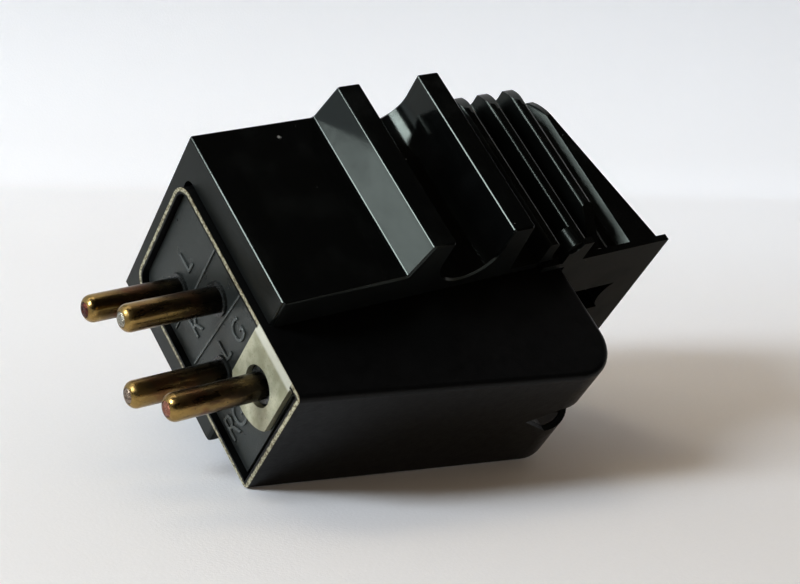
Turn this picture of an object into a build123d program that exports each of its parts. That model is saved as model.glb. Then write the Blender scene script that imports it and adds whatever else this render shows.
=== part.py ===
from build123d import *
import math
import os

# A half-inch moving-magnet phono cartridge with its stylus taken out, in millimetres.
# +Y points to the nose and +Z to the headshell. The origin lies on the mounting face,
# midway between the two screw channels.

# Mount shell: a thick-walled upside-down channel, open below
side_wall = 1.65
top_wall = 0.97
shell_height = 9.24
shell_rear_length = 9.7
edge_break = 0.09
foot_radius = 0.3

# Ears and the open screw channels between them
ear_reach = 1.94
ear_thickness = 1.2
ear_flare = 0.57
channel_width = 3.2
channel_floor_wall = 0.55

# Fluted nose
nose_length = 4.31
nose_lean = 9.9
ridge_pitch = 1.56
ridge_width = 0.61
crest_radius = 0.2
flute_wall = 0.35
cove_length = 2.05
cove_depth = 0.48
cove_low_at = 0.78
cove_ramp_rise = 0.4
cove_ramp_run = 0.34
cove_land = 0.1
least_ear_gap = 1.0
shoulder_height = 1.25
shoulder_set_in = 0.37
shoulder_bulge = 0.09
run_out_height = 1.9
pad_thickness = 0.33
lip_reach = 0.6
lug_setback = 0.24
lug_length = 1.2
lug_height = 1.15
pocket_width = 2.0
pocket_depth = 4.0
pocket_front_wall = 0.48
pocket_bow = 0.45

# Shield can: painted sheet metal, open at the rear
can_half_width = 3.6
can_length = 16.3
can_rear_height = 11.81
can_slope = 9.93
can_sheet = 0.28
can_corner = 0.94
can_fold = 0.3
chin_radius = 2.05
rim_proud = 0.39
shell_gap = 0.05
stylus_opening_width = 1.84
stylus_opening_length = 2.3
stylus_opening_height = 3.2
notch_length = 1.45
tab_length = 3.3
tab_height = 3.2
tab_rise = 0.75
tab_bulge = 0.8
tab_hole_radius = 0.95

# Terminal block and its hollow pins
block_thickness = 1.6
block_gap = 0.05
block_foot_gap = 0.38
tab_gap = 0.03
pin_radius = 0.62
pin_bore_radius = 0.36
pin_reach = 4.74
pin_tail = 0.6
pin_tip_radius = 0.4
collar_radius = 0.8
collar_proud = 0.13
pin_fit_gap = 0.01
pin_pitch = 2.3
pin_offset = 1.22
first_pin_drop = 2.6
solder_depth = 0.9
solder_dome = 0.1

# Coils, laminated cores and the carrier that holds the stylus socket
lamination_count = 3
lamination_sheet = 0.3
limb_width = 1.0
core_reach = 5.6
core_side_gap = 0.11
core_top_gap = 0.95
core_floor_gap = 0.35
pole_gap = 0.8
lead_room = 1.98
bobbin_depth = 4.6
bobbin_height = 8.0
bobbin_drop = 0.3
bobbin_tube_wall = 0.3
bobbin_flange = 0.5
bobbin_corner = 0.25
winding_set_in = 0.25
part_gap = 0.05
socket_width = 2.2
socket_wall = 0.2
socket_length = 5.0
socket_fit_gap = 0.02
carrier_rear = 1.7
carrier_rise = 2.2
lead_radius = 0.08
lead_facets = 6
lead_bend = 0.35

# How far cuts run past what they cut, and how near counts as the same place
cut_past = 1.0
same_place = 0.01

# Places that follow from the sizes above
cavity_half = can_half_width + shell_gap
shell_half_width = cavity_half + side_wall
ear_half_width = shell_half_width + ear_reach
channel_radius = channel_width / 2
channel_x = cavity_half + channel_floor_wall + channel_radius
flute_x = cavity_half + flute_wall
ear_front = channel_radius + ear_thickness
can_top = -top_wall
can_rear = -shell_rear_length - rim_proud
can_front = can_rear + can_length
can_foot = can_top - can_rear_height
lean = math.tan(math.radians(nose_lean))
slope = math.tan(math.radians(can_slope))
slope_cos = math.cos(math.radians(can_slope))
nose_front = can_front + nose_length
nose_foot = nose_front + lean * shell_height
underside = -shell_height - pad_thickness
lug_rear = can_front - lug_setback
lug_front = lug_rear + lug_length
lug_middle = lug_rear + lug_length / 2
lug_round = lug_length / 2
terminal_face = can_rear + can_sheet + tab_gap
terminal_back = terminal_face + block_thickness
pin_tip = terminal_face - pin_reach
pin_end = terminal_back + pin_tail
core_thickness = lamination_count * lamination_sheet
core_x = socket_width / 2 + core_side_gap + core_thickness / 2
coil_x = (can_half_width - can_sheet) / 2
limb_rear = terminal_back + lead_room + bobbin_depth / 2
limb_front = limb_rear + core_reach
core_top = can_top - can_sheet - core_top_gap
bobbin_top = core_top - limb_width - bobbin_drop
bobbin_rear = limb_rear - bobbin_depth / 2
SIDES = {"left": -1, "right": 1}
REAR_VIEW = Plane(origin=(0, 0, 0), x_dir=(1, 0, 0), z_dir=(0, -1, 0))


def can_floor(y, inset=0.0):
    """Height of the can's sloping bottom at y, raised by an inset square to it."""
    return can_foot - slope * (y - can_rear) + inset / slope_cos


def socket_height(y):
    """Height of the stylus socket's axis, which runs parallel to the can's bottom."""
    return can_floor(y, can_sheet + core_floor_gap + limb_width + pole_gap / 2)


def block(x0, x1, y0, y1, z0, z1):
    """A box between two corners."""
    size = Box(x1 - x0, y1 - y0, z1 - z0)
    return Pos((x0 + x1) / 2, (y0 + y1) / 2, (z0 + z1) / 2) * size


def plan(x0, x1, y0, y1):
    """A rectangle of the XY plane between two corners."""
    return Pos((x0 + x1) / 2, (y0 + y1) / 2) * Rectangle(x1 - x0, y1 - y0)


def side_face(*points):
    """A flat face in the YZ plane through the given (y, z) points."""
    return Plane.YZ * make_face(Polyline(*points, close=True))


def both_sides(piece):
    """A piece and its mirror image across the cartridge's middle plane."""
    return piece + mirror(piece, about=Plane.YZ)


def on_side(side, piece):
    """A piece made for the right half, or its mirror image for the left half."""
    return piece if side > 0 else mirror(piece, about=Plane.YZ)


def along_y(face, y0, y1):
    """A face drawn in (x, z) as seen from the rear, drawn out from y0 to y1."""
    return Pos(0, y1, 0) * extrude(REAR_VIEW * face, amount=y1 - y0)


def ridge_fronts():
    """Front edges of the flute ridges, from the nose back to the front ear."""
    fronts = []
    edge = nose_front - cove_length
    while edge - ridge_width > ear_front + least_ear_gap:
        fronts.append(edge)
        edge -= ridge_pitch
    return fronts


def shell_outline():
    """Plan of the shell: side wall, two ears with the screw channel, flutes and cove."""
    flute_radius = (ridge_pitch - ridge_width) / 2
    flute_start = flute_x + flute_radius
    edges = [
        Polyline(
            (0, -shell_rear_length), (shell_half_width, -shell_rear_length),
            (shell_half_width, -ear_front - ear_flare), (ear_half_width, -ear_front),
            (ear_half_width, -channel_radius), (channel_x, -channel_radius),
        ),
        ThreePointArc(
            (channel_x, -channel_radius), (channel_x - channel_radius, 0), (channel_x, channel_radius)
        ),
    ]
    fronts = ridge_fronts()
    edges.append(Polyline(
        (channel_x, channel_radius), (ear_half_width, channel_radius), (ear_half_width, ear_front),
        (flute_x, ear_front + ear_flare / 2), (flute_x, fronts[-1] - ridge_width),
        (shell_half_width, fronts[-1] - ridge_width), (shell_half_width, fronts[-1]),
    ))
    for ahead, behind in zip(fronts[-2::-1], fronts[:0:-1]):
        ridge_rear = ahead - ridge_width
        edges.append(Line((shell_half_width, behind), (flute_start, behind)))
        edges.append(ThreePointArc(
            (flute_start, behind), (flute_x, behind + flute_radius), (flute_start, ridge_rear)
        ))
        edges.append(Polyline(
            (flute_start, ridge_rear), (shell_half_width, ridge_rear), (shell_half_width, ahead)
        ))
    cove_start = (flute_x + cove_depth / 2, fronts[0])
    cove_low = (flute_x - cove_depth, fronts[0] + cove_low_at)
    cove_end = (flute_x, fronts[0] + cove_length - cove_land)
    ramp_foot = (flute_x - cove_ramp_rise, cove_end[1] - cove_ramp_run)
    edges.append(Line((shell_half_width, fronts[0]), cove_start))
    edges.append(ThreePointArc(cove_start, cove_low, ramp_foot))
    edges.append(Polyline(
        ramp_foot, cove_end, (flute_x, nose_foot), (0, nose_foot), (0, -shell_rear_length)
    ))
    outline = both_sides(make_face(edges))
    crests = outline.vertices().filter_by(
        lambda corner: corner.Y > ear_front + same_place
        and abs(abs(corner.X) - shell_half_width) < same_place
    )
    outline = fillet(crests, crest_radius)
    outer = (shell_half_width, ear_half_width)
    corners = outline.vertices().filter_by(
        lambda corner: corner.Y < ear_front + same_place
        and min(abs(abs(corner.X) - x) for x in outer) < same_place
    )
    return chamfer(corners, edge_break)


def pad_outline():
    """Plan of the thin pad under the nose: lip plate, rails beside the can, and the two lugs."""
    plate = plan(-flute_x, flute_x, can_front + shell_gap, nose_foot + lip_reach)
    rail = plan(cavity_half, flute_x, lug_rear - lug_length, lug_middle)
    lug = make_face([
        Polyline(
            (shell_half_width - lug_round, lug_rear), (cavity_half, lug_rear), (cavity_half, lug_front),
            (shell_half_width, lug_front), (shell_half_width, lug_middle),
        ),
        RadiusArc((shell_half_width, lug_middle), (shell_half_width - lug_round, lug_rear), -lug_round),
    ])
    return plate + both_sides(rail + lug)


def lug_outline():
    """Plan of the round-ended lug that stands on the pad beside the ridges."""
    end_x = shell_half_width - lug_round
    return plan(flute_x, end_x, lug_rear, lug_front) + Pos(end_x, lug_middle) * Circle(lug_round)


def mount_shell():
    shell = extrude(shell_outline(), amount=-shell_height)
    rims = shell.faces().filter_by(Axis.Z).edges()
    plain_rims = rims.filter_by(lambda edge: edge.center().Y < ear_front + ear_flare)
    shell = chamfer(plain_rims, edge_break)
    wide = ear_half_width + cut_past
    past = nose_foot + cut_past
    below = 2 * underside

    # The nose's front leans forwards towards its foot, and its upper edges are rounded off
    front = side_face(
        (nose_front, 0), (past, 0), (past, underside), (nose_front - lean * underside, underside)
    )
    shell -= extrude(front, amount=wide, both=True)
    ridge_front = ridge_fronts()[0]
    ridge_rear = ridge_fronts()[-1] - ridge_width
    for face_x, y0, y1 in ((shell_half_width, ridge_rear, ridge_front), (flute_x, ridge_front, past)):
        top_corner = (face_x - shoulder_set_in, 0)
        foot = (face_x, -shoulder_height)
        bulge = (face_x - shoulder_bulge, -shoulder_height / 2)
        rounding = make_face([
            Polyline(top_corner, (wide, 0), (wide, -shoulder_height), foot),
            ThreePointArc(foot, bulge, top_corner),
        ])
        shell -= both_sides(along_y(rounding, y0, y1))

    # The front ridge runs out above the lip plate
    run_out_top = -shell_height + run_out_height
    run_out = make_face(Polyline(
        (flute_x, -shell_height), (shell_half_width, run_out_top), (wide, run_out_top),
        (wide, underside), (flute_x, underside), close=True,
    ))
    shell -= both_sides(along_y(run_out, lug_front, past))

    # The side walls' rear lower corners are rounded
    rear_face = -shell_rear_length
    foot_corner = make_face([
        Line((rear_face, -shell_height), (rear_face + foot_radius, -shell_height)),
        RadiusArc(
            (rear_face + foot_radius, -shell_height), (rear_face, -shell_height + foot_radius), foot_radius
        ),
        Line((rear_face, -shell_height + foot_radius), (rear_face, -shell_height)),
    ])
    shell -= extrude(Plane.YZ * foot_corner, amount=wide, both=True)

    # Pad, lugs, the channel for the can and the pocket under the nose
    shell += Pos(0, 0, underside) * extrude(pad_outline(), amount=pad_thickness)
    lug_foot = underside + pad_thickness / 2
    shell += both_sides(Pos(0, 0, lug_foot) * extrude(lug_outline(), amount=lug_height - pad_thickness / 2))
    channel = block(
        -cavity_half, cavity_half, -shell_rear_length - cut_past, can_front + shell_gap, below, can_top
    )
    roof_corners = channel.edges().filter_by(Axis.Y).group_by(Axis.Z)[-1]
    shell -= fillet(roof_corners, can_corner / 2)
    pocket_top = underside + pocket_depth
    pocket_end = nose_front - lean * pocket_top - pocket_front_wall
    half = pocket_width / 2
    pocket = make_face([
        Polyline((half, pocket_end), (half, can_front), (-half, can_front), (-half, pocket_end)),
        ThreePointArc((-half, pocket_end), (0, pocket_end - pocket_bow), (half, pocket_end)),
    ])
    return shell - Pos(0, 0, below) * extrude(pocket, amount=pocket_top - below)


def can_solid(inset, rear):
    """The can's outer form moved inwards by an inset, from a rear plane to the chin."""
    front = can_front - inset
    half = can_half_width - inset
    profile = side_face(
        (rear, can_top - inset), (front, can_top - inset),
        (front, can_floor(front, inset)), (rear, can_floor(rear, inset)),
    )
    profile = fillet(profile.vertices().sort_by(Axis.Z)[0], chin_radius - inset)
    solid = extrude(profile, amount=half, both=True)
    roof = solid.edges().filter_by(Axis.Y).group_by(Axis.Z)[-1]
    return fillet(roof, can_corner - inset)


def stylus_opening(top):
    """The cut through the chin and the front wall: a slot with a pointed rear end."""
    half = stylus_opening_width / 2
    mouth = can_front - stylus_opening_length
    ahead = can_front + cut_past
    outline = make_face(Polyline(
        (-half, mouth), (0, mouth - notch_length), (half, mouth), (half, ahead), (-half, ahead), close=True
    ))
    low = can_floor(can_front) - cut_past
    return Pos(0, 0, low) * extrude(outline, amount=top - low)


def ground_tab():
    """The tab folded in from the can's right wall, with a rounded end round the lowest pin."""
    low = can_foot + tab_rise
    high = low + tab_height
    root = can_half_width - can_sheet / 2
    end = can_half_width - can_sheet - tab_length
    outline = make_face([
        Polyline((end, high), (root, high), (root, low), (end, low)),
        ThreePointArc((end, low), (end - tab_bulge, (low + high) / 2), (end, high)),
    ])
    outline -= Pos(*pin_places()["right_ground"]) * Circle(tab_hole_radius)
    return along_y(outline, can_rear, can_rear + can_sheet)


def shield_can():
    can = can_solid(0, can_rear)
    side_edges = can.faces().filter_by(Axis.X).edges()
    folds = side_edges.filter_by(
        lambda edge: edge.center().Y > can_rear + same_place
        and edge.center().Z < can_top - can_corner - same_place
    )
    can = fillet(folds, can_fold)
    can -= can_solid(can_sheet, can_rear - cut_past)
    can -= stylus_opening(can_floor(can_front) + stylus_opening_height)
    return can + ground_tab()


def pin_places():
    """(x, z) of each pin: a zigzag down the terminal face."""
    names = ("left", "right", "left_ground", "right_ground")
    top = can_top - first_pin_drop
    return {
        name: (pin_offset if index % 2 else -pin_offset, top - index * pin_pitch)
        for index, name in enumerate(names)
    }


def terminal_block():
    gap = can_sheet + block_gap
    half = can_half_width - gap
    foot = can_foot + can_sheet / slope_cos + block_foot_gap
    plate = block(-half, half, terminal_face, terminal_back, foot, can_top - gap)
    shoulders = plate.edges().filter_by(Axis.Y).group_by(Axis.Z)[-1]
    plate = fillet(shoulders, can_corner - can_sheet)
    for x, z in pin_places().values():
        hole = Cylinder(collar_radius + pin_fit_gap, 2 * block_thickness)
        plate -= Pos(x, (terminal_face + terminal_back) / 2, z) * Rot(90, 0, 0) * hole
    return plate


def pin(x, z):
    """A hollow pin along Y with a rounded tip and a thicker collar in the terminal block."""
    collar_front = terminal_face - collar_proud
    section = make_face(Polyline(
        (0, pin_tip), (pin_radius, pin_tip), (pin_radius, collar_front), (collar_radius, collar_front),
        (collar_radius, pin_end), (0, pin_end), close=True,
    ))
    tip = section.vertices().filter_by(lambda corner: corner.X > pin_radius / 2).sort_by(Axis.Y)[0]
    section = fillet(tip, pin_tip_radius)
    section -= plan(0, pin_bore_radius, pin_tip - cut_past, pin_end + cut_past)
    return Pos(x, 0, z) * revolve(section, Axis.Y)


def pin_solder():
    """Solder that closes the four pin tips, each with a lead's end in it and a low peak outside."""
    inner = pin_tip + solder_depth
    section = make_face(Polyline(
        (0, pin_tip - solder_dome), (0, inner), (pin_bore_radius, inner), (pin_bore_radius, pin_tip),
        close=True,
    ))
    plug = revolve(section, Axis.Y)
    return Compound(children=[Pos(x, 0, z) * plug for x, z in pin_places().values()])


def core(side):
    """A stack of C-shaped laminations whose two poles face the stylus socket's side."""
    half = limb_width / 2
    outer_gap = can_sheet + core_floor_gap
    inner_gap = outer_gap + limb_width
    rear, rear_in = limb_rear - half, limb_rear + half
    front, front_in = limb_front + half, limb_front - half
    pole = socket_height(limb_front) + pole_gap / 2
    outline = side_face(
        (rear, core_top), (front, core_top), (front, pole), (front_in, pole),
        (front_in, core_top - limb_width), (rear_in, core_top - limb_width),
        (rear_in, can_floor(rear_in, inner_gap)), (front, can_floor(front, inner_gap)),
        (front, can_floor(front, outer_gap)), (rear, can_floor(rear, outer_gap)),
    )
    sheet = extrude(outline, amount=lamination_sheet)
    first = side * core_x - core_thickness / 2
    places = [first + index * lamination_sheet for index in range(lamination_count)]
    return Compound(children=[Pos(x, 0, 0) * sheet for x in places])


def bobbin(side):
    """A flanged spool with a square hole for the core's rear limb."""
    width = can_half_width - can_sheet - 2 * part_gap
    hole_x = core_thickness + 2 * part_gap
    hole_y = limb_width + 2 * part_gap
    tube = Box(hole_x + 2 * bobbin_tube_wall, hole_y + 2 * bobbin_tube_wall, bobbin_height)
    flange = Box(width, bobbin_depth, bobbin_flange)
    flange = Pos(coil_x, 0, 0) * chamfer(flange.edges().filter_by(Axis.Z), bobbin_corner)
    rise = (bobbin_height - bobbin_flange) / 2
    spool = Pos(core_x, 0, 0) * tube + Pos(0, 0, rise) * flange + Pos(0, 0, -rise) * flange
    spool -= Pos(core_x, 0, 0) * Box(hole_x, hole_y, 2 * bobbin_height)
    return on_side(side, Pos(0, limb_rear, bobbin_top - bobbin_height / 2) * spool)


def winding(side):
    """The coil of fine wire on a bobbin, as one solid with rounded corners."""
    inner_x = core_thickness + 2 * part_gap + 2 * bobbin_tube_wall
    inner_y = limb_width + 2 * part_gap + 2 * bobbin_tube_wall
    width = can_half_width - can_sheet - 2 * part_gap - 2 * winding_set_in
    depth = bobbin_depth - 2 * winding_set_in
    coil = Box(width, depth, bobbin_height - 2 * bobbin_flange)
    coil = Pos(coil_x, 0, 0) * fillet(coil.edges().filter_by(Axis.Z), (width - inner_x) / 2)
    coil -= Pos(core_x, 0, 0) * Box(inner_x, inner_y, bobbin_height)
    return on_side(side, Pos(0, limb_rear, bobbin_top - bobbin_height / 2) * coil)


def along_socket(width, length, y):
    """A square bar of a length, lying on the socket's tilted axis with its middle at y."""
    bar = Box(width, length, width)
    return Pos(0, y, socket_height(y)) * Rot(-can_slope, 0, 0) * bar


def stylus_socket():
    bore = along_socket(socket_width - 2 * socket_wall, 2 * socket_length, limb_front)
    return along_socket(socket_width, socket_length, limb_front) - bore


def core_carrier():
    """The moulding that seats on the can's floor and holds the poles round the stylus socket."""
    room = can_solid(can_sheet + part_gap, can_rear)
    top = socket_height(limb_front) + carrier_rise
    low = can_floor(can_front) - cut_past
    rear = limb_front - carrier_rear
    carrier = room & block(-can_half_width, can_half_width, rear, can_front, low, top)
    carrier -= along_socket(socket_width + 2 * socket_fit_gap, 2 * can_length, limb_front)
    slot_in = socket_width / 2 - part_gap
    slot_out = core_x + core_thickness / 2 + part_gap
    slot_end = limb_front + limb_width / 2 + part_gap
    carrier -= both_sides(block(slot_in, slot_out, rear - cut_past, slot_end, low, top + cut_past))
    return carrier - stylus_opening(socket_height(can_front))


def lead(x, z, flange_z):
    """A coil lead: from the solder through the pin's bore, then up or down to a bobbin flange."""
    turn = pin_end + lead_bend
    landing = bobbin_rear - lead_bend
    start = (x, pin_tip + solder_depth, z)
    path = FilletPolyline(
        start, (x, turn, z), (x, landing, flange_z), (x, bobbin_rear, flange_z), radius=lead_bend / 2
    )
    section = Plane(origin=start, z_dir=(0, 1, 0)) * RegularPolygon(lead_radius, lead_facets)
    return sweep(section, path=path)


def nodes():
    parts = {
        "mount_shell": mount_shell(),
        "shield_can": shield_can(),
        "terminal_block": terminal_block(),
        "pin_solder": pin_solder(),
        "stylus_socket": stylus_socket(),
        "core_carrier": core_carrier(),
    }
    upper = bobbin_top - bobbin_flange / 2
    lower = bobbin_top - bobbin_height + bobbin_flange / 2
    for name, (x, z) in pin_places().items():
        parts["pin_" + name] = pin(x, z)
        parts["lead_" + name] = lead(x, z, lower if name.endswith("ground") else upper)
    for name, side in SIDES.items():
        parts["core_" + name] = core(side)
        parts["bobbin_" + name] = bobbin(side)
        parts["winding_" + name] = winding(side)
    return parts


os.makedirs("parts", exist_ok=True)
for node, solid in nodes().items():
    export_step(solid, "parts/" + node + ".step")
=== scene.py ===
import math

import bpy
from mathutils import Matrix, Vector


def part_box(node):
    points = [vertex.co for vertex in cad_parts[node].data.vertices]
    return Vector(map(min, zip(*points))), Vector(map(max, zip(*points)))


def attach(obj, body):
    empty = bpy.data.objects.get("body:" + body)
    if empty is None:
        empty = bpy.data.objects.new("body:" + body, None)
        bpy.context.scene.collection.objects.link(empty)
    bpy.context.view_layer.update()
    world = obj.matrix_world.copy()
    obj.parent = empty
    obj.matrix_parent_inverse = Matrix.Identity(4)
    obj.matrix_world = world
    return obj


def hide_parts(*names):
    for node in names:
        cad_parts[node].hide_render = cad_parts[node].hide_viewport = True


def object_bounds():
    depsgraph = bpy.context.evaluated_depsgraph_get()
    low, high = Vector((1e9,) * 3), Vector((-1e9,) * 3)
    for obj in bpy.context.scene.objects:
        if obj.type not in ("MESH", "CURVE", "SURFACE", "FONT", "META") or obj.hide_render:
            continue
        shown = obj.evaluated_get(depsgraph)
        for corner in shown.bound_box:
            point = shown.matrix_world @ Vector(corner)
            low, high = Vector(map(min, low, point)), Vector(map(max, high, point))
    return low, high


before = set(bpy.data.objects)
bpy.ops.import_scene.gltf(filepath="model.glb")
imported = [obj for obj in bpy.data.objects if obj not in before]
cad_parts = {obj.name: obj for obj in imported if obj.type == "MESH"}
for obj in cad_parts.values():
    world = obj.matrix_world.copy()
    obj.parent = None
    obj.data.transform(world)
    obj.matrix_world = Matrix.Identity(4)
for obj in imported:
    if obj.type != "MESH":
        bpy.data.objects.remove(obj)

cad_low, cad_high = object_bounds()

# A phono cartridge lying on its side on a pale table. Sizes are millimetres in the part's own
# frame, in which +Y points to the nose and +Z to the headshell.
MM = 0.001
ROOT = "root"

# Camera: its place, the way it looks and its upright, with the long side's field in pixels
IMAGE_WIDTH = 800
IMAGE_HEIGHT = 584
FOCAL_PIXELS = 1847
SENSOR_WIDTH = 36.0
CAMERA_PLACE = Vector((61.77, -48.52, -41.66))
CAMERA_FORWARD = Vector((-0.719, 0.565, 0.405)).normalized()
CAMERA_UPRIGHT = Vector((0.588, 0.183, 0.788))
CAMERA_RIGHT = CAMERA_FORWARD.cross(CAMERA_UPRIGHT).normalized()
CAMERA_UP = CAMERA_RIGHT.cross(CAMERA_FORWARD)

# The table touches the can's lower left edge and the left rear ear
TABLE_UP = Vector((0.794, 0.105, 0.599)).normalized()
TABLE_EDGE_ROWS = (186.0, 200.0)

# Pin names from the top of the terminal face to its foot
PINS = ("left", "right", "left_ground", "right_ground")

# Narrower faces are edge breaks, which are shaded as rounds that turn to the wide face beside them
BREAK_WIDTH = 0.16
BREAK_TURN = 0.45

# The can's upper corners, its sheet, and its ground tab above the rim's foot
CAN_CORNER = 0.94
CAN_SHEET = 0.28
TAB_RISE = 0.75
TAB_HEIGHT = 3.2

# Where the shell's flutes begin, and the one large speck of dust on its side
FLUTES_FROM = 3.2
FLUFF_PLACE = (5.3, -5.58, -0.85)

# Green cast painted into the gloss of the black and grey mouldings, standing in for the tint of the light
# that they mirror
GREEN_GLINT = (0.87, 1.0, 0.92, 1.0)


def node_box(node):
    """Lowest and highest corner of a CAD node, in millimetres."""
    low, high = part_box(node)
    return low / MM, high / MM


def deselect_all():
    bpy.ops.object.select_all(action="DESELECT")


def make_active(piece):
    deselect_all()
    piece.select_set(True)
    bpy.context.view_layer.objects.active = piece


def settle(piece, name, finish, replaced=()):
    """Names a finished piece, gives it its finish and lets it ride on the part's one body."""
    piece.name = name
    piece.data.name = name
    piece.data.materials.clear()
    piece.data.materials.append(finish)
    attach(piece, ROOT)
    if replaced:
        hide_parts(*replaced)


def face_width(mesh, face):
    """Width of a triangle across its longest side."""
    ends = [mesh.vertices[corner].co for corner in face.vertices]
    longest = max((ends[i] - ends[i - 1]).length for i in range(len(ends)))
    return 2 * face.area / longest


def shade_by_face(mesh, smooth_angle):
    """Shades faces that turn little from each other as one round, and edge breaks as rounds too."""
    flat = math.cos(math.radians(1))
    least = math.cos(math.radians(smooth_angle))
    across_break = math.cos(math.radians(62))
    meeting = [[] for corner in mesh.vertices]
    for face in mesh.polygons:
        for corner in face.vertices:
            meeting[corner].append(face)
    narrow = {face.index for face in mesh.polygons if face_width(mesh, face) < BREAK_WIDTH * MM}
    normals = []
    for face in mesh.polygons:
        for corner in face.vertices:
            turns = [(other.normal.dot(face.normal), other) for other in meeting[corner]]
            near = [other for turn, other in turns if turn > least]
            level = all(turn > flat and other.index in narrow for turn, other in turns if turn > least)
            wide = [other for turn, other in turns if turn > across_break and other.index not in narrow]
            normal = sum((other.normal * other.area for other in near), Vector()).normalized()
            if level and wide:
                beside = max(wide, key=lambda other: other.area)
                normal = normal.lerp(beside.normal, BREAK_TURN).normalized()
            normals.append(normal)
    mesh.polygons.foreach_set("use_smooth", [True] * len(mesh.polygons))
    mesh.normals_split_custom_set(normals)


def finished_copy(node, smooth_angle):
    """A copy of a CAD node with merged corners, flat on its flats and smooth on its rounds."""
    piece = bpy.data.objects.new(node + "_finished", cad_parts[node].data.copy())
    bpy.context.scene.collection.objects.link(piece)
    make_active(piece)
    bpy.ops.object.mode_set(mode="EDIT")
    bpy.ops.mesh.select_all(action="SELECT")
    bpy.ops.mesh.remove_doubles(threshold=0.0005 * MM)
    bpy.ops.object.mode_set(mode="OBJECT")
    shade_by_face(piece.data, smooth_angle)
    return piece


class Finish:
    """A procedural material in millimetres of the part's frame, with short ways to add its nodes."""

    def __init__(self, name):
        self.material = bpy.data.materials.new(name)
        self.material.use_nodes = True
        self.tree = self.material.node_tree
        self.shader = self.tree.nodes["Principled BSDF"]
        object_place = self.add("TexCoord").outputs["Object"]
        self.place = self.vector("SCALE", object_place, Scale=1 / MM)
        parts = self.add("SeparateXYZ", Vector=self.place)
        self.x, self.y, self.z = parts.outputs
        facing = self.add("SeparateXYZ", Vector=self.add("TexCoord").outputs["Normal"]).outputs
        self.normal_y, self.normal_z = facing["Y"], facing["Z"]

    def add(self, kind, settings=None, **inputs):
        node = self.tree.nodes.new("ShaderNode" + kind)
        for name, value in (settings or {}).items():
            setattr(node, name, value)
        for name, value in inputs.items():
            self.feed(node.inputs[name.replace("_", " ")], value)
        return node

    def feed(self, socket, value):
        if isinstance(value, bpy.types.NodeSocket):
            self.tree.links.new(value, socket)
        else:
            socket.default_value = value

    def set(self, **inputs):
        for name, value in inputs.items():
            self.feed(self.shader.inputs[name.replace("_", " ")], value)

    def vector(self, operation, first, second=None, **inputs):
        node = self.add("VectorMath", {"operation": operation}, **inputs)
        self.feed(node.inputs[0], first)
        if second is not None:
            self.feed(node.inputs[1], second)
        return node.outputs["Value" if operation in ("DISTANCE", "LENGTH", "DOT_PRODUCT") else "Vector"]

    def math(self, operation, first, second=0.0):
        node = self.add("Math", {"operation": operation})
        self.feed(node.inputs[0], first)
        self.feed(node.inputs[1], second)
        return node.outputs["Value"]

    def band(self, value, low, high, start=0.0, end=1.0):
        """A smooth step from one value to another as the input goes from low to high."""
        settings = {"interpolation_type": "SMOOTHSTEP"}
        node = self.add("MapRange", settings, Value=value, From_Min=low, From_Max=high)
        self.feed(node.inputs["To Min"], start)
        self.feed(node.inputs["To Max"], end)
        return node.outputs["Result"]

    def rounded_inset(self, half, top, foot, radius):
        """Distance in from the outline, across the length, of a box with two rounded upper corners."""
        aside = self.math("SUBTRACT", self.math("ABSOLUTE", self.x), half - radius)
        above = self.math("SUBTRACT", self.z, top - radius)
        aside = self.math("MAXIMUM", aside, 0.0)
        above = self.math("MAXIMUM", above, 0.0)
        reach = self.vector("LENGTH", self.add("CombineXYZ", X=aside, Z=above).outputs["Vector"])
        return self.math("MINIMUM", self.math("SUBTRACT", radius, reach), self.math("SUBTRACT", self.z, foot))

    def noise(self, scale, detail=3.0, roughness=0.5, stretch=None):
        place = self.vector("MULTIPLY", self.place, stretch) if stretch else self.place
        node = self.add("TexNoise", Vector=place, Scale=scale, Detail=detail, Roughness=roughness)
        return node.outputs["Fac"]

    def specks(self, per_mm, radius):
        """1 in small round specks that lie here and there, and 0 elsewhere."""
        node = self.add("TexVoronoi", Vector=self.place, Scale=per_mm)
        return self.band(node.outputs["Distance"], radius, radius * 0.6)

    def mix(self, share, first, second):
        node = self.add("MixRGB", Fac=share, Color1=first, Color2=second)
        return node.outputs["Color"]

    def bump(self, height, distance, strength=1.0, normal=None):
        node = self.add("Bump", Height=height, Distance=distance * MM, Strength=strength)
        if normal is not None:
            self.feed(node.inputs["Normal"], normal)
        return node.outputs["Normal"]


def colour(red, green, blue):
    return (red, green, blue, 1.0)


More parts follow.
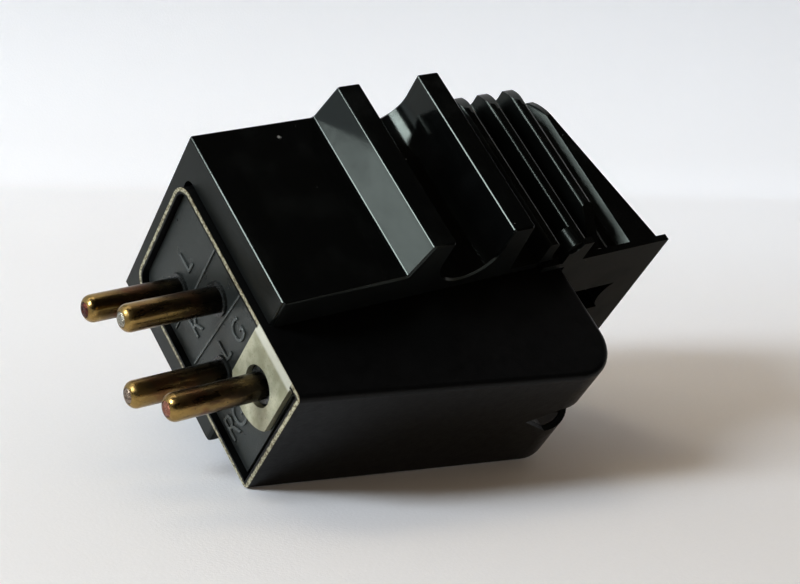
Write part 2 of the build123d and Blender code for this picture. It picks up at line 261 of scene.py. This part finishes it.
# Finishes
def black_moulding():
    """Gloss black plastic with faint sink, rubbed patches, dust, and duller flutes, rear and underside."""
    finish = Finish("black_moulding")
    rubbed = finish.band(finish.noise(0.55, 4.0), 0.42, 0.72)
    dust = finish.math("MULTIPLY", finish.specks(1.7, 0.045), finish.band(finish.noise(0.7, 1.0), 0.60, 0.68))
    ragged = finish.math("MULTIPLY", finish.noise(12.0, 3.0), 0.24)
    from_fluff = finish.math("ADD", finish.vector("DISTANCE", finish.place, FLUFF_PLACE), ragged)
    dust = finish.math("MAXIMUM", dust, finish.band(from_fluff, 0.24, 0.16))
    skin = finish.mix(rubbed, colour(0.0020, 0.0022, 0.0021), colour(0.0036, 0.0040, 0.0038))
    finish.set(Base_Color=finish.mix(dust, skin, colour(0.20, 0.20, 0.19)))
    faces_down = finish.band(finish.normal_z, -0.7, -0.9)
    on_flutes = finish.band(finish.y, FLUTES_FROM, FLUTES_FROM + 0.4)
    flute_walls = finish.math("MULTIPLY", on_flutes, finish.band(finish.normal_y, -0.2, -0.5))
    rear = node_box("mount_shell")[0].y
    rear_end = finish.band(finish.y, rear + 0.3, rear + 0.2)
    rear_face = finish.math("MULTIPLY", rear_end, finish.band(finish.normal_y, -0.90, -0.98))
    dull = finish.math("MAXIMUM", flute_walls, finish.math("MULTIPLY", rear_face, 1.4))
    dull = finish.math("MAXIMUM", dull, finish.math("MULTIPLY", faces_down, 2.6))
    satin = finish.math("ADD", finish.band(rubbed, 0.0, 1.0, 0.10, 0.16), finish.math("MULTIPLY", dull, 0.18))
    finish.set(Roughness=finish.math("ADD", satin, finish.math("MULTIPLY", dust, 0.5)))
    finish.set(Specular_IOR_Level=finish.band(faces_down, 0.0, 1.0, 0.28, 0.11))
    finish.set(Specular_Tint=GREEN_GLINT)
    sink = finish.bump(finish.noise(0.8, 2.0), 0.010)
    finish.set(Normal=finish.bump(finish.noise(16.0, 4.0), 0.0020, 1.0, sink))
    return finish.material


def can_paint():
    """Satin black paint on sheet metal, worn off along the rim, with the folded tab left bare and a painted
    highlight along its fold.
    """
    low, high = node_box("shield_can")
    finish = Finish("can_paint")
    corners = (corner.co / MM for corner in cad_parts["shield_can"].data.vertices)
    foot = min(corner.z for corner in corners if corner.y < low.y + 0.05)
    from_rim = finish.math("SUBTRACT", finish.y, low.y)
    from_outside = finish.rounded_inset(high.x, high.z, foot, CAN_CORNER)
    wander = finish.math("MULTIPLY", finish.noise(6.0, 4.0, 0.65), 0.16)
    worn_line = finish.band(finish.math("ADD", from_outside, wander), 0.27, 0.21)
    worn_rim = finish.math("MULTIPLY", worn_line, finish.band(from_rim, 0.05, 0.02))
    inside = finish.band(from_outside, CAN_SHEET + 0.01, CAN_SHEET + 0.05)
    inside_right = finish.band(finish.x, 2.9, 3.1)
    fold_foot, fold_top = foot + TAB_RISE, foot + TAB_RISE + TAB_HEIGHT
    fold = finish.math("MULTIPLY", finish.band(finish.z, fold_foot, fold_foot + 0.1), inside_right)
    fold = finish.math("MULTIPLY", fold, finish.band(finish.z, fold_top, fold_top - 0.1))
    fold = finish.math("MULTIPLY", fold, finish.band(from_rim, 0.05, 0.02))
    tab = finish.math("MULTIPLY", inside, finish.band(from_rim, CAN_SHEET + 0.04, CAN_SHEET + 0.02))
    tab = finish.math("MAXIMUM", tab, fold)
    bare = finish.math("MAXIMUM", worn_rim, tab)
    mottle = finish.noise(2.4, 5.0, 0.6)
    paint = finish.mix(mottle, colour(0.0016, 0.0017, 0.0017), colour(0.0030, 0.0031, 0.0032))
    patches = finish.band(finish.noise(0.55, 3.0, 0.6), 0.40, 0.62)
    tinned = finish.mix(patches, colour(0.54, 0.53, 0.38), colour(0.33, 0.325, 0.215))
    tinned = finish.mix(finish.band(finish.noise(11.0, 3.0), 0.55, 0.72), tinned, colour(0.26, 0.25, 0.16))
    # Painted highlight: the tinned metal is painted paler along the tab's fold.
    fold_highlight = finish.math("MULTIPLY", finish.band(finish.x, 3.0, 3.2), 0.75)
    tinned = finish.mix(fold_highlight, tinned, colour(0.78, 0.78, 0.66))
    glints = finish.band(finish.noise(9.0, 4.0, 0.6), 0.42, 0.60)
    rim_metal = finish.mix(glints, colour(0.52, 0.49, 0.34), colour(0.17, 0.145, 0.085))
    metal = finish.mix(tab, rim_metal, tinned)
    finish.set(Base_Color=finish.mix(bare, paint, metal), Metallic=finish.math("MULTIPLY", bare, 0.4))
    satin = finish.band(mottle, 0.3, 0.7, 0.30, 0.42)
    finish.set(Roughness=satin, Specular_IOR_Level=0.12)
    orange_peel = finish.bump(finish.noise(6.0, 3.0), 0.006)
    finish.set(Normal=finish.bump(finish.noise(30.0, 2.0), 0.0015, 1.0, orange_peel))
    return finish.material


def grey_moulding():
    """Satin dark grey plastic of the terminal plate, with a fine pebble, and raised marks that are smoother
    and painted lighter as a painted highlight.
    """
    finish = Finish("grey_moulding")
    mottle = finish.noise(1.6, 5.0, 0.6)
    pale = finish.band(finish.noise(3.5, 3.0), 0.6, 0.75)
    skin = finish.mix(mottle, colour(0.010, 0.0113, 0.0106), colour(0.018, 0.0200, 0.0190))
    skin = finish.mix(pale, skin, colour(0.024, 0.0265, 0.0255))
    face = node_box("terminal_block")[0].y
    # Painted highlight: the raised marks are painted lighter than the plate, and they are smoother.
    raised = finish.band(finish.y, face - 0.012, face - 0.035)
    finish.set(Base_Color=finish.mix(raised, skin, colour(0.055, 0.060, 0.057)))
    satin = finish.band(mottle, 0.3, 0.7, 0.27, 0.36)
    finish.set(Roughness=finish.math("SUBTRACT", satin, finish.math("MULTIPLY", raised, 0.12)))
    finish.set(Specular_IOR_Level=0.40, Specular_Tint=GREEN_GLINT)
    finish.set(Normal=finish.bump(finish.noise(13.0, 4.0, 0.6), 0.016))
    return finish.material


def gilt_brass():
    """Gilt brass of the pins, tarnished in streaks, a lighter gold towards the tips, darker towards the
    roots, and with dark collars.
    """
    finish = Finish("gilt_brass")
    streaks = finish.noise(1.4, 4.0, 0.6, (1.6, 0.35, 1.6))
    tarnish = finish.band(streaks, 0.40, 0.64)
    spots = finish.band(finish.noise(7.0, 3.0), 0.60, 0.72)
    gilt = finish.mix(tarnish, colour(0.27, 0.175, 0.066), colour(0.092, 0.053, 0.028))
    coppered = finish.band(finish.noise(0.9, 2.0), 0.48, 0.62, 0.0, 0.6)
    gilt = finish.mix(coppered, gilt, colour(0.16, 0.062, 0.027))
    worn = finish.mix(spots, gilt, colour(0.045, 0.033, 0.021))
    root = node_box("terminal_block")[0].y
    # The pins turn dark towards their roots, along a wandering line.
    wander = finish.math("MULTIPLY", finish.noise(1.2, 3.0), 2.4)
    darkening_to_root = finish.band(finish.math("ADD", finish.y, wander), root - 2.2, root + 0.9)
    # The pins turn a lighter gold towards their tips.
    tip = node_box("pin_left")[0].y
    lighter_tip = finish.band(finish.y, tip + 1.2, tip + 0.2, 0.0, 0.55)
    worn = finish.mix(lighter_tip, worn, colour(0.42, 0.275, 0.085))
    darkened_at_root = finish.mix(darkening_to_root, worn, colour(0.022, 0.018, 0.013))
    collar = finish.band(finish.y, root - 0.16, root - 0.13)
    finish.set(Base_Color=finish.mix(collar, darkened_at_root, colour(0.012, 0.0133, 0.0126)))
    finish.set(Metallic=finish.math("SUBTRACT", 1.0, collar))
    finish.set(Roughness=finish.band(tarnish, 0.0, 1.0, 0.22, 0.40))
    finish.set(Normal=finish.bump(finish.noise(16.0, 3.0, 0.5, (1.0, 0.2, 1.0)), 0.004))
    return finish.material


def solder_metal(name, bright, dull):
    """Dull solder or bare lead end in a pin's mouth."""
    finish = Finish(name)
    grain = finish.noise(9.0, 4.0, 0.6)
    finish.set(Base_Color=finish.mix(finish.band(grain, 0.35, 0.65), bright, dull), Metallic=0.9)
    finish.set(Roughness=finish.band(grain, 0.3, 0.7, 0.20, 0.38))
    finish.set(Normal=finish.bump(grain, 0.05))
    return finish.material


def plain_brass():
    """Drawn brass of the stylus socket."""
    finish = Finish("plain_brass")
    draw = finish.noise(5.0, 3.0, 0.5, (4.0, 0.3, 4.0))
    finish.set(Base_Color=finish.mix(draw, colour(0.70, 0.54, 0.28), colour(0.50, 0.36, 0.16)), Metallic=1.0)
    finish.set(Roughness=finish.band(draw, 0.3, 0.7, 0.22, 0.38))
    return finish.material


def inner_moulding():
    """Matt plastic of the carrier and the bobbins."""
    finish = Finish("inner_moulding")
    mottle = finish.noise(2.0, 4.0)
    finish.set(Base_Color=finish.mix(mottle, colour(0.030, 0.030, 0.031), colour(0.055, 0.055, 0.056)))
    finish.set(Roughness=finish.band(mottle, 0.3, 0.7, 0.42, 0.60))
    finish.set(Normal=finish.bump(finish.noise(12.0, 3.0), 0.010))
    return finish.material


def rolled_sheet():
    """Bare rolled sheet of the cores."""
    finish = Finish("rolled_sheet")
    roll = finish.noise(3.0, 4.0, 0.6, (6.0, 1.0, 0.3))
    finish.set(Base_Color=finish.mix(roll, colour(0.56, 0.56, 0.57), colour(0.38, 0.38, 0.39)), Metallic=1.0)
    finish.set(Roughness=finish.band(roll, 0.3, 0.7, 0.28, 0.46))
    return finish.material


def lacquered_wire():
    """Fine copper wire, wound in level turns."""
    finish = Finish("lacquered_wire")
    turns_per_mm = 9.0
    wave = finish.math("SINE", finish.math("MULTIPLY", finish.z, turns_per_mm * 2 * math.pi))
    shade = finish.noise(4.0, 3.0)
    finish.set(Base_Color=finish.mix(shade, colour(0.58, 0.20, 0.06), colour(0.38, 0.11, 0.03)), Metallic=1.0)
    finish.set(Roughness=finish.band(shade, 0.3, 0.7, 0.25, 0.40))
    finish.set(Normal=finish.bump(wave, 0.03))
    return finish.material


# Pieces
def dress_hidden_nodes():
    """The pieces inside the can keep their solids and get their finishes."""
    brass, moulding, sheet, wire = plain_brass(), inner_moulding(), rolled_sheet(), lacquered_wire()
    finishes = {"stylus_socket": brass, "core_carrier": moulding}
    for side in ("left", "right"):
        finishes["bobbin_" + side] = moulding
        finishes["core_" + side] = sheet
        finishes["winding_" + side] = wire
    for name in PINS:
        finishes["lead_" + name] = wire
    for node, finish in finishes.items():
        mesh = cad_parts[node].data
        mesh.materials.clear()
        mesh.materials.append(finish)


def channel_marks(finish):
    """Raised channel letters beside the pins, and the two raised lines between them."""
    relief = 0.07
    face = node_box("terminal_block")[0].y
    # Each mark's letters, their height, and the place of their left end and middle
    letters = {
        "mark_left": ("L", 1.04, 0.20, -3.18),
        "mark_right": ("R", 1.04, -1.68, -5.43),
        "mark_left_ground_l": ("L", 1.04, -0.39, -7.62),
        "mark_left_ground_g": ("G", 1.04, 1.00, -7.79),
        "mark_right_ground": ("RG", 1.22, -2.98, -10.11),
    }
    stand_up = Matrix.Rotation(math.radians(90), 4, "X")
    for name, (words, letter_height, x, z) in letters.items():
        deselect_all()
        bpy.ops.object.text_add()
        text = bpy.context.object
        text.data.body = words
        text.data.extrude = 0.04
        text.data.bevel_depth = 0.022
        text.data.offset = -0.018
        text.data.bevel_resolution = 1
        text.data.space_character = 0.86
        text.data.align_x = "LEFT"
        bpy.ops.object.convert(target="MESH")
        piece = bpy.context.object
        low, high = (Vector(f(v.co[i] for v in piece.data.vertices) for i in range(3)) for f in (min, max))
        tall = letter_height * MM / (high.y - low.y)
        centre = Matrix.Translation((-low.x, -(low.y + high.y) / 2, 0))
        size = Matrix.Diagonal((tall, tall, relief * MM / high.z, 1.0))
        place = Matrix.Translation(Vector((x, face, z)) * MM)
        piece.data.transform(place @ stand_up @ size @ centre)
        settle(piece, name, finish)
    # Each line's two ends across and up the face
    lines = {
        "mark_line_upper": ((-2.95, -4.45), (2.95, -4.45)),
        "mark_line_lower": ((-2.95, -6.45), (2.95, -6.95)),
    }
    line_width = 0.11
    for name, (start, end) in lines.items():
        start, end = (Vector((x, 0.0, z)) for x, z in (start, end))
        deselect_all()
        bpy.ops.mesh.primitive_cube_add(size=1.0)
        piece = bpy.context.object
        bpy.ops.object.mode_set(mode="EDIT")
        bpy.ops.mesh.select_all(action="SELECT")
        bpy.ops.transform.resize(value=((end - start).length * MM, 2 * relief * MM, line_width * MM))
        bpy.ops.mesh.bevel(offset=0.03 * MM, segments=2)
        bpy.ops.object.mode_set(mode="OBJECT")
        turn = Matrix.Rotation(math.atan2(start.z - end.z, end.x - start.x), 4, "Y")
        middle = (start + end) / 2 + Vector((0.0, face, 0.0))
        piece.data.transform(Matrix.Translation(middle * MM) @ turn)
        settle(piece, name, finish)


def solder_plugs():
    """A dull plug in each pin's mouth that bulges a little, with the lead's end in its middle."""
    tints = {
        "left": (colour(0.16, 0.04, 0.025), colour(0.03, 0.01, 0.01)),
        "right": (colour(0.50, 0.48, 0.41), colour(0.20, 0.18, 0.14)),
        "left_ground": (colour(0.36, 0.28, 0.21), colour(0.09, 0.06, 0.045)),
        "right_ground": (colour(0.42, 0.17, 0.11), colour(0.17, 0.065, 0.045)),
    }
    mouth_radius = 0.36
    depth = 0.8
    for index, name in enumerate(PINS):
        low, high = node_box("pin_" + name)
        axis = Vector(((low.x + high.x) / 2, low.y + 0.04 + depth / 2, (low.z + high.z) / 2))
        deselect_all()
        bpy.ops.mesh.primitive_cylinder_add(
            vertices=40, radius=mouth_radius * MM, depth=depth * MM,
            location=axis * MM, rotation=(math.radians(90), 0, 0),
        )
        piece = bpy.context.object
        bpy.ops.object.transform_apply(location=True, rotation=True, scale=True)
        front = min(face.center.y for face in piece.data.polygons)
        bpy.ops.object.mode_set(mode="EDIT")
        bpy.ops.mesh.select_all(action="DESELECT")
        bpy.ops.object.mode_set(mode="OBJECT")
        for face in piece.data.polygons:
            face.select = face.center.y < front + 0.01 * MM
        bpy.ops.object.mode_set(mode="EDIT")
        for inset, rise in ((0.05, -0.045), (0.09, -0.045), (0.09, -0.015), (0.03, 0.02)):
            bpy.ops.mesh.inset(thickness=inset * MM)
            bpy.ops.transform.translate(value=(0, rise * MM, 0))
        bpy.ops.mesh.select_all(action="SELECT")
        bpy.ops.transform.vertex_random(offset=0.012 * MM, seed=index + 3)
        bpy.ops.object.mode_set(mode="OBJECT")
        bpy.ops.object.shade_smooth_by_angle(angle=math.radians(60))
        finish = solder_metal("solder_" + name, *tints[name])
        settle(piece, "solder_plug_" + name, finish)
    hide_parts("pin_solder")


def dress_shown_nodes():
    """The pieces that show, from their solids, with soft edges and their finishes."""
    shell = finished_copy("mount_shell", 28)
    settle(shell, "shell_moulding", black_moulding(), ["mount_shell"])
    can = finished_copy("shield_can", 40)
    settle(can, "can_folded", can_paint(), ["shield_can"])
    grey = grey_moulding()
    plate = finished_copy("terminal_block", 40)
    settle(plate, "terminal_plate", grey, ["terminal_block"])
    gilt = gilt_brass()
    for name in PINS:
        pin = finished_copy("pin_" + name, 32)
        settle(pin, "pin_tube_" + name, gilt, ["pin_" + name])
    channel_marks(grey)
    solder_plugs()


# Stage
def camera():
    """A camera at the photograph's place, with its field of view."""
    data = bpy.data.cameras.new("camera")
    data.sensor_width = SENSOR_WIDTH
    data.lens = SENSOR_WIDTH * FOCAL_PIXELS / IMAGE_WIDTH
    data.clip_start = MM
    data.clip_end = 10.0
    holder = bpy.data.objects.new("camera", data)
    bpy.context.scene.collection.objects.link(holder)
    turn = Matrix((CAMERA_RIGHT, CAMERA_UP, -CAMERA_FORWARD)).transposed().to_4x4()
    holder.matrix_world = Matrix.Translation(CAMERA_PLACE * MM) @ turn
    bpy.context.scene.camera = holder


def table_height():
    """Distance of the table's plane from the origin, along its upright, in millimetres."""
    corners = (v.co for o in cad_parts.values() for v in o.data.vertices)
    return min(TABLE_UP.dot(corner) for corner in corners) / MM


def on_table(column, row, height):
    """The point of the table that the camera sees at a pixel of the photograph."""
    across = CAMERA_RIGHT * (column - IMAGE_WIDTH / 2)
    ray = CAMERA_FORWARD * FOCAL_PIXELS + across + CAMERA_UP * (IMAGE_HEIGHT / 2 - row)
    reach = (height - TABLE_UP.dot(CAMERA_PLACE)) / TABLE_UP.dot(ray)
    return CAMERA_PLACE + ray * reach


def table_paper(height, along, left_end, back, back_end):
    """Pale paper, seen from its front only, painted grey far left as shade, and glowing with painted light
    towards the back and in its wall.
    """
    finish = Finish("table_paper")
    grain = finish.noise(7.0, 4.0, 0.6)
    white = finish.mix(grain, colour(0.83, 0.826, 0.826), colour(0.88, 0.876, 0.876))
    # Painted shade: the paper is painted grey far to the left, out of view, for the part's shiny faces to
    # mirror.
    grey = finish.mix(grain, colour(0.40, 0.40, 0.385), colour(0.46, 0.46, 0.445))
    across = finish.vector("DOT_PRODUCT", finish.place, along)
    far_left_shade = finish.band(across, left_end + 6.0, left_end)
    finish.set(Base_Color=finish.mix(far_left_shade, white, grey))
    finish.set(Roughness=0.85, Specular_IOR_Level=0.2)
    finish.set(Normal=finish.bump(grain, 0.010))
    above = finish.math("SUBTRACT", finish.vector("DOT_PRODUCT", finish.place, TABLE_UP), height)
    path = finish.add("LightPath").outputs
    glancing = finish.math("MAXIMUM", path["Is Glossy Ray"], path["Is Transmission Ray"])
    looked_at = finish.math("MAXIMUM", path["Is Camera Ray"], glancing)
    # Painted light: what looks at the paper sees it glow, more towards the back, on the right and low in its
    # wall, and less higher up the wall, with a painted darker band at the table's back and a lighter line
    # just above it.
    reach_back = finish.vector("DOT_PRODUCT", finish.place, back)
    left_view, right_view = left_end + 16.0, left_end + 74.0
    right_glow = finish.band(across, left_view, right_view, 0.0, 0.157)
    wall_glow = finish.band(across, left_view, right_view, 0.085, 0.034)
    towards_back = finish.band(reach_back, back_end - 62.0, back_end, 0.0, 0.20)
    right_back = finish.band(reach_back, back_end - 46.0, back_end - 9.0, 0.0, right_glow)
    table = finish.math("ADD", towards_back, right_back)
    wall = finish.band(above, 0.0, 7.0, 0.0, wall_glow)
    wall_top = finish.band(above, 8.0, 50.0, 0.0, -0.178)
    table_end = finish.band(reach_back, back_end - 34.0, back_end - 14.0, 0.0, -0.05)
    edge_line = finish.band(above, 1.7, 2.4, table_end, 0.03)
    above_line = finish.band(above, 2.4, 5.0, 0.0, -0.05)
    painted_glow = finish.math("ADD", table, finish.math("ADD", wall, wall_top))
    painted_glow = finish.math("ADD", painted_glow, finish.math("ADD", edge_line, above_line))
    finish.set(Emission_Color=colour(0.74, 0.86, 1.0))
    finish.set(Emission_Strength=finish.math("MULTIPLY", looked_at, painted_glow))
    behind = finish.add("NewGeometry").outputs["Backfacing"]
    clear = finish.add("BsdfTransparent").outputs["BSDF"]
    choice = finish.add("MixShader", Fac=behind)
    finish.feed(choice.inputs[1], finish.shader.outputs["BSDF"])
    finish.feed(choice.inputs[2], clear)
    surface = finish.tree.nodes["Material Output"].inputs["Surface"]
    finish.feed(surface, choice.outputs["Shader"])
    return finish.material


def paper_sweep():
    """A table top that turns up in a soft curve to a wall behind, at the photograph's table edge."""
    height = table_height()
    left, right = (on_table(column, row, height) for column, row in zip((0, IMAGE_WIDTH), TABLE_EDGE_ROWS))
    along = (right - left).normalized()
    back = TABLE_UP.cross(along)
    middle = (left + right) / 2
    front_reach, left_reach, right_reach, wall_height, curve = 260.0, 240.0, 320.0, 220.0, 16.0
    white_reach = 49.0
    deselect_all()
    bpy.ops.mesh.primitive_plane_add(size=2.0)
    sweep = bpy.context.object
    sweep.name = "paper_sweep"
    for corner in sweep.data.vertices:
        corner.co.x *= right_reach if corner.co.x > 0 else left_reach
        corner.co.y = 0.0 if corner.co.y > 0 else -front_reach
    bpy.ops.object.mode_set(mode="EDIT")
    bpy.ops.mesh.select_all(action="DESELECT")
    bpy.ops.object.mode_set(mode="OBJECT")
    for edge in sweep.data.edges:
        edge.select = all(abs(sweep.data.vertices[i].co.y) < 1 for i in edge.vertices)
    bpy.ops.object.mode_set(mode="EDIT")
    bpy.ops.mesh.extrude_region_move(TRANSFORM_OT_translate={"value": (0, 0, wall_height)})
    bpy.ops.object.mode_set(mode="OBJECT")
    for edge in sweep.data.edges:
        ends = [sweep.data.vertices[i].co for i in edge.vertices]
        edge.select = all(abs(end.y) < 1 and abs(end.z) < 1 for end in ends)
    bpy.ops.object.mode_set(mode="EDIT")
    bpy.ops.mesh.bevel(offset=curve, segments=12)
    bpy.ops.object.mode_set(mode="OBJECT")
    bpy.ops.object.shade_smooth()
    turn = Matrix((along, back, TABLE_UP)).transposed().to_4x4()
    place = Matrix.Translation(middle * MM) @ turn @ Matrix.Scale(MM, 4)
    sweep.data.transform(place)
    left_end = along.dot(middle) - white_reach
    sweep.data.materials.append(table_paper(height, along, left_end, back, back.dot(middle)))


def from_camera(right, up, away):
    """A direction given as right, up and away from the camera, in the part's frame."""
    return (CAMERA_RIGHT * right + CAMERA_UP * up + CAMERA_FORWARD * away).normalized()


def soft_box(name, towards, along, distance, width, height, power, shine, glow):
    """A soft lamp that faces the part, with one tint in its mirror image and one on matt surfaces."""
    middle = (cad_low + cad_high) / 2
    side = towards.cross(along).normalized()
    turn = Matrix((side.cross(towards), side, towards)).transposed().to_4x4()
    for share, tint in (("shine", shine), ("glow", glow)):
        data = bpy.data.lights.new(name + "_" + share, "AREA")
        data.shape = "RECTANGLE"
        data.size = width * MM
        data.size_y = height * MM
        data.energy = power
        data.color = tint
        # A lamp that only matt surfaces see is sampled by itself, because chance hits would lose light
        data.cycles.use_multiple_importance_sampling = share == "shine"
        lamp = bpy.data.objects.new(name + "_" + share, data)
        bpy.context.scene.collection.objects.link(lamp)
        lamp.matrix_world = Matrix.Translation(middle + towards * distance * MM) @ turn
        lamp.visible_camera = False
        lamp.visible_glossy = share == "shine"
        lamp.visible_diffuse = share == "glow"


def room():
    """A pale background to what looks at it, with dim warm light on what is matt."""
    world = bpy.data.worlds.new("room")
    bpy.context.scene.world = world
    world.use_nodes = True
    tree = world.node_tree
    tree.nodes.clear()
    path = tree.nodes.new("ShaderNodeLightPath")
    shades = {
        "pale": ((0.90, 0.91, 0.94, 1.0), 1.0),
        "even": ((1.0, 0.77, 0.55, 1.0), 0.25),
    }
    backgrounds = {}
    for name, (tint, strength) in shades.items():
        node = tree.nodes.new("ShaderNodeBackground")
        node.inputs["Color"].default_value = tint
        node.inputs["Strength"].default_value = strength
        backgrounds[name] = node.outputs["Background"]
    looked_at = path.outputs["Is Camera Ray"]
    for ray in ("Is Glossy Ray", "Is Transmission Ray"):
        either = tree.nodes.new("ShaderNodeMath")
        either.operation = "MAXIMUM"
        tree.links.new(looked_at, either.inputs[0])
        tree.links.new(path.outputs[ray], either.inputs[1])
        looked_at = either.outputs["Value"]
    choice = tree.nodes.new("ShaderNodeMixShader")
    tree.links.new(looked_at, choice.inputs["Fac"])
    tree.links.new(backgrounds["even"], choice.inputs[1])
    tree.links.new(backgrounds["pale"], choice.inputs[2])
    output = tree.nodes.new("ShaderNodeOutputWorld")
    tree.links.new(choice.outputs["Shader"], output.inputs["Surface"])


def dark_surroundings():
    """A dark dome round the table, outside the lamps, that only shiny surfaces mirror."""
    dome_radius = 420.0
    deselect_all()
    bpy.ops.mesh.primitive_uv_sphere_add(segments=48, ring_count=24, radius=dome_radius * MM)
    dome = bpy.context.object
    dome.name = "dark_surroundings"
    bpy.ops.object.mode_set(mode="EDIT")
    bpy.ops.mesh.select_all(action="SELECT")
    bpy.ops.mesh.flip_normals()
    bpy.ops.object.mode_set(mode="OBJECT")
    # Painted reflection: a dark finish that only shiny surfaces mirror, darker and lighter in broad patches.
    finish = Finish("mirrored_dark_room")
    dim_patches = finish.noise(0.01, 3.0)
    finish.set(Base_Color=finish.mix(dim_patches, colour(0.010, 0.009, 0.008), colour(0.022, 0.020, 0.018)))
    finish.set(Roughness=1.0, Specular_IOR_Level=0.0)
    dome.data.materials.append(finish.material)
    dome.visible_camera = False
    dome.visible_diffuse = False
    dome.visible_transmission = False
    dome.visible_shadow = False


def lamps():
    """A bright window at the camera's left, and a broad dim lamp above the part."""
    window, window_long_side = from_camera(-0.68, 0.42, -0.58), from_camera(0.77, 0.64, -0.38)
    cool, day = (0.93, 0.98, 1.0), (0.95, 1.06, 1.18)
    soft_box(
        "window", window, window_long_side, distance=250.0, width=122.0, height=56.0,
        power=0.55, shine=cool, glow=day,
    )
    overhead, overhead_long_side = from_camera(-0.35, 0.88, 0.05), from_camera(1.0, 0.0, 0.0)
    plain, warm = (0.96, 0.98, 1.0), (1.0, 0.80, 0.53)
    soft_box(
        "overhead", overhead, overhead_long_side, distance=150.0, width=150.0, height=110.0,
        power=0.12, shine=plain, glow=warm,
    )


bpy.context.scene.view_settings.view_transform = "Standard"
dress_hidden_nodes()
dress_shown_nodes()
camera()
paper_sweep()
room()
dark_surroundings()
lamps()
